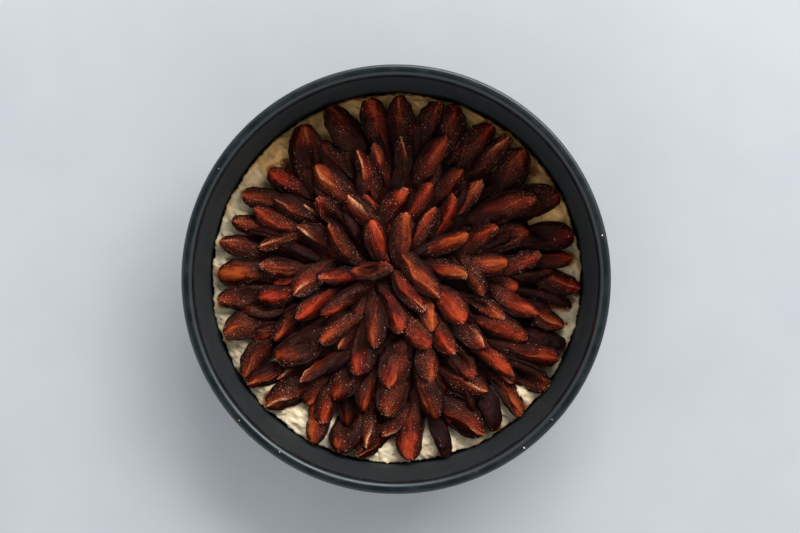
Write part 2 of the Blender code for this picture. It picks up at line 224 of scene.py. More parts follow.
@dataclass
class Surface:
    """Points, faces and values per point of a mesh that is being worked out."""

    points: Array
    quads: Array
    triangles: Array
    values: dict[str, Array] = field(default_factory=dict)

    def build(self, name: str, material: bpy.types.Material, slot: str) -> bpy.types.Object:
        """Write the surface to a mesh object that rides on the tart's body.

        Args:
            name: Name of the piece.
            material: Its material.
            slot: Name of a material slot; not used.

        Returns:
            The piece.
        """
        mesh = bpy.data.meshes.new(name)
        corners = np.concatenate((self.quads.ravel(), self.triangles.ravel()))
        totals = np.concatenate((np.full(len(self.quads), 4), np.full(len(self.triangles), 3)))
        starts = np.cumsum(totals) - totals
        mesh.vertices.add(len(self.points))
        mesh.loops.add(len(corners))
        mesh.polygons.add(len(totals))
        mesh.vertices.foreach_set("co", self.points.astype(np.float32).ravel())
        mesh.loops.foreach_set("vertex_index", corners.astype(np.int32))
        mesh.polygons.foreach_set("loop_start", starts.astype(np.int32))
        mesh.polygons.foreach_set("use_smooth", np.ones(len(totals), bool))
        for key, numbers in self.values.items():
            mesh.attributes.new(key, "FLOAT", "POINT").data.foreach_set("value", numbers.astype(np.float32))
        mesh.update(calc_edges=True)
        mesh.validate()
        mesh.materials.append(material)
        piece = add_object(name, mesh)
        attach(piece, BODY)
        return piece


def closed(points: Array, columns: int, falling: bool, values: dict | None = None) -> Surface:
    """Close rings of points with quads between them and a fan at each end.

    A quad joins each point to its neighbour and to the two in the next ring.

    Args:
        points: Rings of points one after another, then the two poles.
        columns: Points in a ring.
        falling: The rings run from the top down, so the faces turn the other way.
        values: Values per point, by name.

    Returns:
        The closed surface.
    """
    count = len(points) - 2
    column = np.arange(columns)
    after = (column + 1) % columns
    here = np.arange(0, count - columns, columns)[:, None]
    there = here + columns
    quads = np.stack((here + column, here + after, there + after, there + column), -1).reshape(-1, 4)
    first, second = (column, after) if falling else (after, column)
    pole, last = np.full(columns, count), count - columns
    fans = ((pole, first, second), (pole + 1, last + second, last + first))
    triangles = np.concatenate([np.stack(fan, -1) for fan in fans])
    return Surface(points, quads[:, ::-1] if falling else quads, triangles, values or {})


def merge(parts: list[Surface]) -> Surface:
    """Join several surfaces into one, with each one's vertex numbers moved past those before it."""
    starts = np.cumsum([0] + [len(part.points) for part in parts[:-1]])
    return Surface(
        np.concatenate([part.points for part in parts]),
        np.concatenate([part.quads + start for part, start in zip(parts, starts)]),
        np.concatenate([part.triangles + start for part, start in zip(parts, starts)]),
        {key: np.concatenate([part.values[key] for part in parts]) for key in parts[0].values},
    )


def turned(profile: Array, steps: int) -> Surface:
    """Turn a profile round Z: each row (r, z) gives the points (r cos a, r sin a, z).

    Args:
        profile: Rows of radius and height, from the axis over the top and outside back to the axis.
        steps: Points round the axis.

    Returns:
        The closed surface.
    """
    angles = np.linspace(0, 2 * pi, steps, endpoint=False)
    rings = profile[1:-1]
    across = (rings[:, :1] * np.cos(angles), rings[:, :1] * np.sin(angles))
    points = np.stack((*across, np.repeat(rings[:, 1:], steps, axis=1)), -1).reshape(-1, 3)
    poles = np.array([[0, 0, profile[0, 1]], [0, 0, profile[-1, 1]]])
    return closed(np.concatenate((points, poles)), steps, True)


def set_stops(ramp: bpy.types.ColorRamp, stops: list | tuple) -> None:
    """Give a colour ramp its stops.

    Args:
        ramp: The colour ramp.
        stops: Each stop's place from 0 to 1 and its three linear numbers.
    """
    while len(ramp.elements) < len(stops):
        ramp.elements.new(0.5)
    for element, (place, colour) in zip(ramp.elements, stops):
        element.position = place
        element.color = (*colour, 1.0)


class NodeTree:
    """Short way to write a material's node tree."""

    def __init__(self, name: str) -> None:
        """Start a material with only a Principled shader and its output.

        Args:
            name: Name of the material.
        """
        self.material = bpy.data.materials.new(name)
        self.material.use_nodes = True
        self.tree = self.material.node_tree
        self.shader = self.tree.nodes["Principled BSDF"]
        self.place = self.tree.nodes.new("ShaderNodeTexCoord").outputs["Object"]

    def give(self, target: Socket, value: Input) -> None:
        """Give an input its value.

        Args:
            target: The input.
            value: A socket, which is linked, a number, or three numbers for a colour, which get a fourth.
        """
        if isinstance(value, Socket):
            self.tree.links.new(value, target)
        elif target.type == "RGBA":
            target.default_value = (*value, 1.0)
        else:
            target.default_value = value

    def set(self, **values: Input) -> None:
        """Set or link inputs of the Principled shader; a name's underscores stand for spaces."""
        for key, value in values.items():
            self.give(self.shader.inputs[key.replace("_", " ")], value)

    def node(self, kind: str, inputs: dict, **settings: str) -> bpy.types.Node:
        """Add a node of a kind.

        Args:
            kind: The kind, as its type is named after ShaderNode.
            inputs: Values of inputs, each by its name or number.
            **settings: Values of the node's own settings.

        Returns:
            The node.
        """
        node = self.tree.nodes.new(f"ShaderNode{kind}")
        for key, value in settings.items():
            setattr(node, key, value)
        for key, value in inputs.items():
            self.give(node.inputs[key], value)
        return node

    def value(self, key: str) -> Socket:
        """A value that the mesh holds per point."""
        return self.node("Attribute", {}, attribute_name=key).outputs["Fac"]

    def noise(
        self, scale: float, detail: float = 3.0, rough: float = 0.5, place: Socket | None = None,
    ) -> Socket:
        """Noise on object coordinates, or on the place that is given."""
        inputs = {"Vector": place or self.place, "Scale": scale, "Detail": detail, "Roughness": rough}
        return self.node("TexNoise", inputs).outputs["Fac"]

    def strands(self, scale: float, drawn_out: float) -> Socket:
        """Noise drawn out along each quarter, on the places in the quarter that the mesh holds per point.

        Args:
            scale: Scale of the noise.
            drawn_out: How many times longer than wide the strands are.

        Returns:
            The noise.
        """
        along = self.math("MULTIPLY", self.value("along"), 1 / drawn_out)
        join = self.node("CombineXYZ", {"X": along, "Y": self.value("across"), "Z": self.value("raised")})
        return self.noise(scale, 4.0, 0.6, join.outputs["Vector"])

    def math(self, operation: str, *operands: Input) -> Socket:
        """One Math node; each operand is a socket or a number."""
        return self.node("Math", dict(enumerate(operands)), operation=operation).outputs[0]

    def shift(self, base: Socket, source: Socket, share: float, start: float) -> Socket:
        """The base plus a share of the source plus a start."""
        return self.math("ADD", base, self.math("MULTIPLY_ADD", source, share, start))

    def span(self, source: Socket, low: float, high: float, start: float = 0.0, end: float = 1.0) -> Socket:
        """Smoothly carry a range of the source to another range, held at both ends."""
        inputs = {"Value": source, "From Min": low, "From Max": high, "To Min": start, "To Max": end}
        return self.node("MapRange", inputs, interpolation_type="SMOOTHSTEP").outputs["Result"]

    def mix(self, share: Input, first: Input, second: Input) -> Socket:
        """Mix two colours, each a socket or three linear numbers, by a share: a socket or a number."""
        return self.node("Mix", {0: share, 6: first, 7: second}, data_type="RGBA").outputs[2]

    def ramp(self, source: Socket, *stops: tuple[float, tuple]) -> Socket:
        """Colour ramp through the stops.

        Args:
            source: Place on the ramp, from 0 to 1.
            *stops: Each stop's place from 0 to 1 and its three linear numbers.

        Returns:
            The colour.
        """
        node = self.node("ValToRGB", {"Fac": source})
        set_stops(node.color_ramp, stops)
        return node.outputs["Color"]

    def bump(self, height: Socket, strength: float, distance: float, under: Socket | None = None) -> Socket:
        """Bump by a height.

        Args:
            height: Height as a share of the distance.
            strength: Strength from 0 to 1.
            distance: Distance in metres.
            under: Another bump under this one, if any.

        Returns:
            The normal.
        """
        inputs = {"Height": height, "Strength": strength, "Distance": distance}
        if under:
            inputs["Normal"] = under
        return self.node("Bump", inputs).outputs["Normal"]


def tint(red: int, green: int, blue: int) -> tuple[float, float, float]:
    """Linear colour of a display colour whose channels run from 0 to 255."""
    shares = [channel / 255 for channel in (red, green, blue)]
    return tuple(s / 12.92 if s <= 0.04045 else ((s + 0.055) / 1.055) ** 2.4 for s in shares)


@dataclass(frozen=True)
class CoatedSteel:
    """Dark grey non-stick coating: matt on the walls, satin on the rim, with a dusting of flour."""

    base: tuple = tint(8, 13, 15)
    pale: tuple = tint(13, 20, 23)
    flour: tuple = tint(150, 145, 138)
    sheen: tuple = (0.86, 0.97, 1.0)
    roughness: float = 0.84
    polish: float = 0.50
    polished_from: float = 62.0 * MM
    polished_to: float = 66.5 * MM

    def material(self) -> bpy.types.Material:
        """Build the coating's material.

        Returns:
            The material.
        """
        tree = NodeTree("tin_coating")
        mottle = tree.noise(90, 4, 0.6)
        dust = tree.span(tree.noise(420, 3, 0.7), 0.66, 0.78)
        colour = tree.mix(tree.span(mottle, 0.35, 0.7), self.base, self.pale)
        height = tree.node("SeparateXYZ", {"Vector": tree.place}).outputs["Z"]
        rim = tree.span(height, self.polished_from, self.polished_to)
        satin = tree.span(mottle, 0.3, 0.75, self.roughness - 0.05, self.roughness + 0.08)
        tree.set(
            Base_Color=tree.mix(tree.math("MULTIPLY", dust, 0.25), colour, self.flour),
            Roughness=tree.math("MULTIPLY_ADD", rim, -self.polish, satin),
            Metallic=0.0, IOR=1.52, Specular_Tint=self.sheen,
            Normal=tree.bump(tree.noise(1800, 2, 0.5), 0.25, 0.2 * MM),
        )
        return tree.material


@dataclass(frozen=True)
class BakedDough:
    """Pale baked dough: cream, tan where it browned or thinned, with brown spots and juice that soaked in."""

    cream: tuple = tint(252, 226, 184)
    pale: tuple = tint(255, 243, 214)
    tan: tuple = tint(246, 192, 120)
    brown: tuple = tint(134, 78, 34)
    juice: tuple = tint(188, 116, 50)
    dark_juice: tuple = tint(74, 26, 14)
    glow: tuple = (1.0, 0.6, 0.35)

    def material(self) -> bpy.types.Material:
        """Build the dough's material; the mesh holds how browned and how stained each point is.

        Returns:
            The material.
        """
        tree = NodeTree("crust")
        crumb = tree.noise(520, 5, 0.65)
        patch = tree.noise(70, 3, 0.5)
        browned = tree.shift(tree.value("browned"), crumb, 0.5, -0.25)
        soaked = tree.shift(tree.value("soaked"), patch, 1.2, -0.6)
        colour = tree.mix(tree.span(crumb, 0.35, 0.7), self.cream, self.pale)
        for share, other in (
            (tree.math("MULTIPLY", tree.span(patch, 0.5, 0.75), 0.4), self.tan),
            (tree.span(browned, 0.1, 0.75), self.tan),
            (tree.span(browned, 0.75, 1.15), self.brown),
            (tree.span(soaked, 0.25, 0.9), self.juice),
            (tree.span(soaked, 0.8, 1.3), self.dark_juice),
        ):
            colour = tree.mix(share, colour, other)
        grain = tree.bump(tree.noise(1500, 4, 0.7), 0.5, 0.3 * MM)
        tree.set(
            Base_Color=colour, Roughness=tree.span(soaked, 0.3, 1.0, 0.85, 0.35), IOR=1.4,
            Subsurface_Weight=0.08, Subsurface_Scale=2 * MM, Subsurface_Radius=self.glow,
            Normal=tree.bump(crumb, 0.6, 0.6 * MM, grain),
        )
        return tree.material


@dataclass(frozen=True)
class BakedDamson:
    """Baked damson: wet red-brown flesh in a near-black skin, brighter on ridges and tips, partly as drier
    flesh and partly as painted highlight, with painted shade at its sides and inner end.
    """

    dark: tuple = tint(32, 6, 3)
    brown: tuple = tint(72, 13, 2)
    amber: tuple = tint(116, 38, 13)
    orange: tuple = tint(164, 70, 28)
    wine: tuple = tint(74, 8, 2)
    red: tuple = tint(118, 25, 9)
    coral: tuple = tint(160, 46, 18)
    # pale dried flesh, also a painted highlight on ridges near the outer tip
    dried_and_highlight: tuple = tint(232, 172, 124)
    # sugar specks, also painted glints
    syrup_and_glint: tuple = tint(212, 120, 84)
    # near-black colour laid as painted shade toward the skin edges and over the inner ends
    juice: tuple = tint(34, 8, 4)
    skin: tuple = tint(16, 4, 4)
    bloom: tuple = tint(32, 9, 13)
    rind: tuple = tint(56, 14, 8)
    glow: tuple = (1.0, 0.25, 0.1)
    sheen: tuple = (1.0, 0.55, 0.36)

    def material(self) -> bpy.types.Material:
        """Build the material; the mesh holds each point's tone, and how much it is skin, ridge or tip.

        Returns:
            The material.
        """
        tree = NodeTree("damson")
        grain = tree.noise(1300, 4, 0.7)
        fibre = tree.noise(260, 5, 0.6)
        cloud = tree.noise(110, 3, 0.5)
        strands = tree.strands(520, 7)
        ridge, face, outer = tree.value("ridge"), tree.value("face"), tree.value("outer")
        depth = tree.value("tone")
        # The tone and noise, plus painted highlight along the ridge and toward the outer end, and painted
        # shade toward the skin, in the stone hollow and toward the inner end
        for source, share, start in (
            (cloud, 0.9, -0.5), (strands, 1.3, -0.65), (grain, 0.66, -0.33),
            (ridge, 0.26, 0.0), (face, 0.80, -0.38), (outer, 0.55, -0.26),
        ):
            depth = tree.shift(depth, source, share, start)
        brown_flesh, red_flesh = (
            tree.ramp(depth, *zip((0.0, 0.38, 0.66, 0.95), colours))
            for colours in (
                (self.dark, self.brown, self.amber, self.orange),
                (self.dark, self.wine, self.red, self.coral),
            )
        )
        flesh = tree.mix(tree.value("warm"), brown_flesh, red_flesh)
        # Dried flesh on the ridge near the outer tip, which is also a painted highlight
        dry = tree.math("MULTIPLY", tree.value("tip"), tree.span(grain, 0.35, 0.6))
        dry = tree.math("MULTIPLY", ridge, dry)
        # Patches of sugar specks, which also stand in as painted glints
        specks = tree.span(tree.noise(1900, 3, 0.7), 0.54, 0.68)
        sugar = tree.math("MULTIPLY", specks, tree.span(tree.noise(45, 2, 0.5), 0.42, 0.60, 0.05, 0.68))
        for share, other in (
            (tree.span(dry, 0.08, 0.50), self.dried_and_highlight),
            (sugar, self.syrup_and_glint),
            # Painted shade: near-black toward the skin and in the stone hollow, and over the inner end under
            # the next ring
            (tree.span(tree.shift(face, fibre, 0.3, -0.15), 0.24, 0.0, 0.0, 0.75), self.juice),
            (tree.span(tree.shift(outer, cloud, 0.8, -0.4), 0.05, -0.65, 0.0, 0.82), self.juice),
        ):
            flesh = tree.mix(share, flesh, other)
        peel = tree.mix(tree.span(cloud, 0.4, 0.7), self.skin, self.bloom)
        peel = tree.mix(tree.math("MULTIPLY", tree.span(fibre, 0.46, 0.66), 0.8), peel, self.rind)
        edge = tree.span(tree.shift(tree.value("skin"), fibre, 0.5, -0.25), 0.3, 0.6)
        normal = tree.bump(strands, 0.8, 1.2 * MM, tree.bump(grain, 0.9, 0.6 * MM))
        tree.set(
            Base_Color=tree.mix(edge, flesh, peel), Roughness=tree.span(grain, 0.3, 0.7, 0.42, 0.65),
            IOR=1.34, Specular_IOR_Level=0.09, Specular_Tint=self.sheen,
            Subsurface_Weight=0.06, Subsurface_Scale=2 * MM, Subsurface_Radius=self.glow,
            Coat_Weight=0.28, Coat_Roughness=0.07, Coat_IOR=1.33, Normal=normal, Coat_Normal=normal,
        )
        return tree.material


@dataclass(frozen=True)
class DarkJuice:
    """Thick, nearly black damson juice that lies between the quarters."""

    deep: tuple = tint(20, 5, 3)
    thin: tuple = tint(46, 12, 7)

    def material(self) -> bpy.types.Material:
        """Build the juice's material.

        Returns:
            The material.
        """
        tree = NodeTree("damson_juice")
        cloud = tree.noise(150, 3, 0.5)
        tree.set(
            Base_Color=tree.mix(tree.span(cloud, 0.4, 0.75), self.deep, self.thin),
            Roughness=0.30, IOR=1.34, Specular_IOR_Level=0.12, Normal=tree.bump(cloud, 0.4, 1 * MM),
        )
        return tree.material


@dataclass(frozen=True)
class SugarGrain:
    """Clear sugar crystals, some still dry."""

    dry: tuple = tint(255, 214, 186)
    soaked: tuple = tint(190, 110, 84)

    def material(self) -> bpy.types.Material:
        """Build the sugar's material.

        Returns:
            The material.
        """
        tree = NodeTree("sugar")
        shade = tree.span(tree.noise(900, 2), 0.35, 0.65)
        colour = tree.mix(shade, self.dry, self.soaked)
        tree.set(Base_Color=colour, Roughness=0.18, IOR=1.54, Transmission_Weight=0.15)
        return tree.material


@dataclass(frozen=True)
class DryCrumb:
    """Crumbs of dough, from cream to toasted."""

    toasted: tuple = tint(176, 128, 78)
    tan: tuple = tint(222, 190, 142)
    cream: tuple = tint(242, 232, 212)

    def material(self) -> bpy.types.Material:
        """Build the crumbs' material.

        Returns:
            The material.
        """
        tree = NodeTree("crumb")
        colour = tree.ramp(tree.noise(240, 2), (0.3, self.toasted), (0.5, self.tan), (0.7, self.cream))
        tree.set(Base_Color=colour, Roughness=0.9, Normal=tree.bump(tree.noise(2500, 3), 0.5, 0.2 * MM))
        return tree.material


@dataclass
class BakingTin:
    """Deep round cake tin: sheet steel with a small corner radius and a rolled rim."""

    height: float = 70 * MM
    inner_radius: float = 120 * MM
    sheet: float = 1 * MM
    corner_radius: float = 5 * MM
    bead_radius: float = 3.5 * MM
    bead_shoulder: int = 4
    steps: int = 320
    wall_steps: int = 24

    def arc(self, centre: tuple, radius: float, start: float, end: float, steps: int) -> Array:
        """Points of the profile along an arc, from start to end in degrees."""
        angles = np.radians(np.linspace(start, end, steps + 1))
        return np.column_stack((centre[0] + radius * np.cos(angles), centre[1] + radius * np.sin(angles)))

    def squared(self, points: Array, centre: tuple) -> Array:
        """Move the rim's outer upper quarter to a squarer curve: the root of each circle coordinate.

        Args:
            points: Points of the rim's circle, as rows of radius and height.
            centre: Centre of that circle.

        Returns:
            The moved points.
        """
        share = (points - centre) / self.bead_radius
        outer = (share[:, 0] > 0) & (share[:, 1] > 0)
        share[outer] = share[outer] ** (2 / self.bead_shoulder)
        return share * self.bead_radius + centre

    def profile(self) -> Array:
        """Profile of the tin: floor, inner wall, rolled rim, outer wall and underside.

        Returns:
            Rows of radius and height, from axis to axis.
        """
        outer_radius = self.inner_radius + self.sheet
        corner = (outer_radius - self.corner_radius, self.corner_radius)
        bead = (self.inner_radius + self.bead_radius, self.height - self.bead_radius)
        foot = -180 + degrees(acos((self.bead_radius - self.sheet) / self.bead_radius))
        floor_radii = np.linspace(10 * MM, corner[0] - 1 * MM, 14)
        wall_heights = np.linspace(self.corner_radius + 1 * MM, bead[1] - 1 * MM, self.wall_steps)
        rim = self.squared(self.arc(bead, self.bead_radius, 180, foot, 48), bead)
        down = np.linspace(rim[-1, 1] - 0.6 * MM, self.corner_radius + 1 * MM, self.wall_steps)
        runs = (
            (0.0, self.sheet),
            (floor_radii, self.sheet),
            self.arc(corner, self.corner_radius - self.sheet, -90, 0, 8).T,
            (self.inner_radius, wall_heights),
            rim.T,
            (outer_radius, down),
            self.arc(corner, self.corner_radius, 0, -90, 8).T,
            (floor_radii[::-1], 0.0),
            (0.0, 0.0),
        )
        return np.concatenate([np.column_stack(np.broadcast_arrays(*run)) for run in runs])

    def build(self) -> bpy.types.Object:
        """Build the tin in place of its solid.

        Returns:
            The piece.
        """
        surface = turned(self.profile(), self.steps)
        tin = surface.build("baking_tin", CoatedSteel().material(), "tin_coating")
        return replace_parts(tin, "tin")


@dataclass
class Crust:
    """Flat crust with a low, lumpy border, pressed by hand and cracked in places."""

    radius: float = 118.6 * MM
    bed: float = 7 * MM
    bed_radius: float = 94 * MM
    rise: float = 3 * MM
    crest_radius: float = 111 * MM
    edge_fall: float = 1.6 * MM
    lump_height: float = 0.9 * MM
    lump_length: float = 26 * MM
    wander: float = 0.6 * MM
    floor: float = 1.3 * MM
    limit: float = 119.6 * MM
    # Bearing round which the crust is browner
    browner_bearing: float = 80.0
    steps: int = 1000
    # Brown spots and cracks, each as bearing (degrees), distance (mm) and size (mm)
    spots: tuple = ((134, 103, 2.2), (108, 111, 1.8), (38, 111, 2.0), (345, 113, 1.6), (222, 110, 1.4))
    cracks: tuple = ((231, 114, 3.0), (257, 111, 4.0), (261, 113, 3.0), (264, 114, 3.5), (308, 112, 4.0),
                     (314, 113, 3.0), (12, 113, 3.0), (176, 112, 3.5), (203, 113, 3.0), (285, 113, 2.5))

    def even_height(self, radius: Array) -> Array:
        """Height without lumps: the bed, a smooth swell to the crest, then a fall with the distance squared.

        Args:
            radius: Distance from the axis, in metres.

        Returns:
            Height of the top, in metres.
        """
        swell = smooth_step(radius, self.bed_radius, self.crest_radius)
        fall = np.clip((radius - self.crest_radius) / (self.radius - self.crest_radius), 0, 1)
        return self.bed + self.rise * swell - self.edge_fall * fall * fall

    def height(self, x: Array, y: Array) -> Array:
        """Height of the top: even height, lumps as in the solid, then dents, wrinkles and cracks.

        A crack is a notch exp(-d^2) deep across and fades out linearly along the radius.

        Args:
            x: Places along X, in metres.
            y: Places along Y, in metres.

        Returns:
            Height at each place, in metres.
        """
        radius = np.hypot(x, y)
        share = np.clip((radius - self.bed_radius) / (8 * MM), 0, 1)
        flat = np.column_stack((x, y))
        height = self.even_height(radius)
        height += share * self.lump_height * waves(flat, self.lump_length, SEED, solid=True)
        for deep, length, seed, count in ((0.45, 9.0, 21, 10), (0.22, 3.5, 22, 14), (0.10, 1.5, 23, 18)):
            height += share * deep * MM * waves(flat, length * MM, seed, count)
        angle = np.arctan2(y, x)
        for bearing, distance, size in self.cracks:
            beside = np.angle(np.exp(1j * (angle - radians(bearing)))) * radius
            beside += 0.5 * MM * np.sin(radius / (1.1 * MM) + bearing)
            along = np.clip(1 - np.abs(radius - distance * MM) / (size * MM * 1.6), 0, 1)
            height -= 1.3 * MM * along * np.exp(-(beside / (0.35 * MM)) ** 2)
        return height

    def edge(self, angle: Array) -> Array:
        """How much the rim's radius is stretched at a bearing: the solid's wander, then ragged bites.

        Args:
            angle: Bearings, in radians.

        Returns:
            Stretch at each bearing, near 1.
        """
        flat = self.radius * np.column_stack((np.cos(angle), np.sin(angle)))
        wander = self.wander * waves(flat, self.lump_length, SEED + 1, solid=True)
        ragged = 0.45 * MM * waves(flat, 6 * MM, 31, 12) + 0.25 * MM * waves(flat, 2.2 * MM, 32, 12)
        return 1 + (wander + ragged + 0.5 * MM) / self.radius

    def surface(self, quarters: Array) -> Surface:
        """Rings over the top, down the side and under, with the browning and soaking of each point.

        Args:
            quarters: Both ends of each outer quarter's middle line, for the juice that soaked in.

        Returns:
            The closed surface.
        """
        angles = np.linspace(0, 2 * pi, self.steps, endpoint=False)
        inner = np.linspace(20 * MM, self.bed_radius - 12 * MM, 6)
        outer = np.linspace(self.bed_radius - 10 * MM, self.radius - 0.8 * MM, 62)
        radii = np.concatenate((inner, outer))
        near_edge = smooth_step(radii, self.crest_radius - 6 * MM, self.radius)[:, None]
        stretch = 1 + (self.edge(angles) - 1) * near_edge
        reach = np.minimum(radii[:, None] * stretch, self.limit)
        x, y = reach * np.cos(angles), reach * np.sin(angles)
        top = np.stack((x, y, self.height(x.ravel(), y.ravel()).reshape(x.shape)), -1)
        last = top[-1]
        side = []
        for share, swell in ((0.12, 0.45), (0.3, 0.75), (0.55, 0.8), (0.8, 0.3), (1.0, -1.8)):
            ring = last.copy()
            length = np.hypot(last[:, 0], last[:, 1])
            ring[:, :2] *= (np.minimum(length + swell * MM, self.limit) / length)[:, None]
            ring[:, 2] = last[:, 2] + (self.floor - last[:, 2]) * share
            side.append(ring)
        under = last.copy()
        under[:, :2] *= 0.5
        under[:, 2] = self.floor
        poles = np.array([[0, 0, self.bed], [0, 0, self.floor]])
        points = np.concatenate((top.reshape(-1, 3), *side, under, poles))
        values = {"browned": self.browning(points), "soaked": self.soaking(points, quarters)}
        return closed(points, self.steps, True, values)

    def browning(self, points: Array) -> Array:
        """How browned each point is: high lumps, the edge, the side round the browner bearing and the spots.

        Args:
            points: Points of the crust.

        Returns:
            Browning of each point, from below 0 (pale) to above 1 (brown).
        """
        x, y, z = points.T
        radius = np.hypot(x, y)
        raised = (z - self.even_height(np.minimum(radius, self.radius))) / (1.4 * MM)
        browned = 0.25 * np.clip(raised, -1, 1)
        browned += 0.35 * smooth_step(radius, self.radius - 2 * MM, self.radius)
        # browner toward the side round that bearing
        turn = np.arctan2(y, x) - radians(self.browner_bearing)
        browned += 0.75 * smooth_step(np.cos(turn), 0.0, 0.7)
        for bearing, distance, size in self.spots:
            angle = radians(bearing)
            away = np.hypot(x - distance * MM * cos(angle), y - distance * MM * sin(angle))
            browned += 1.3 * np.exp(-(away / (size * MM)) ** 2)
        return browned

    def soaking(self, points: Array, quarters: Array) -> Array:
        """How much juice each point holds: less with the distance to the nearest quarter's middle line.

        Args:
            points: Points of the crust.
            quarters: Both ends of each outer quarter's middle line.

        Returns:
            Soaking of each point, from 0 (dry) to above 1 (dark).
        """
        soaked = np.zeros(len(points))
        near = np.nonzero(np.hypot(points[:, 0], points[:, 1]) > self.bed_radius - 14 * MM)[0]
        flat = points[near, :2]
        nearest = np.full(len(near), 1.0)
        for start, end in quarters:
            line = end - start
            share = np.clip(((flat - start) @ line) / (line @ line), 0, 1)
            away = np.linalg.norm(flat - start - share[:, None] * line, axis=1)
            nearest = np.minimum(nearest, away)
        patch = waves(flat, 24 * MM, 71, 6)
        soaked[near] = (0.75 + 0.55 * patch) * (1 - smooth_step(nearest, 2.5 * MM, 8.5 * MM))
        return soaked

    def build(self, quarters: Array) -> bpy.types.Object:
        """Build the crust in place of its solid."""
        crust = self.surface(quarters).build("pressed_crust", BakedDough().material(), "crust")
        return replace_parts(crust, "crust")


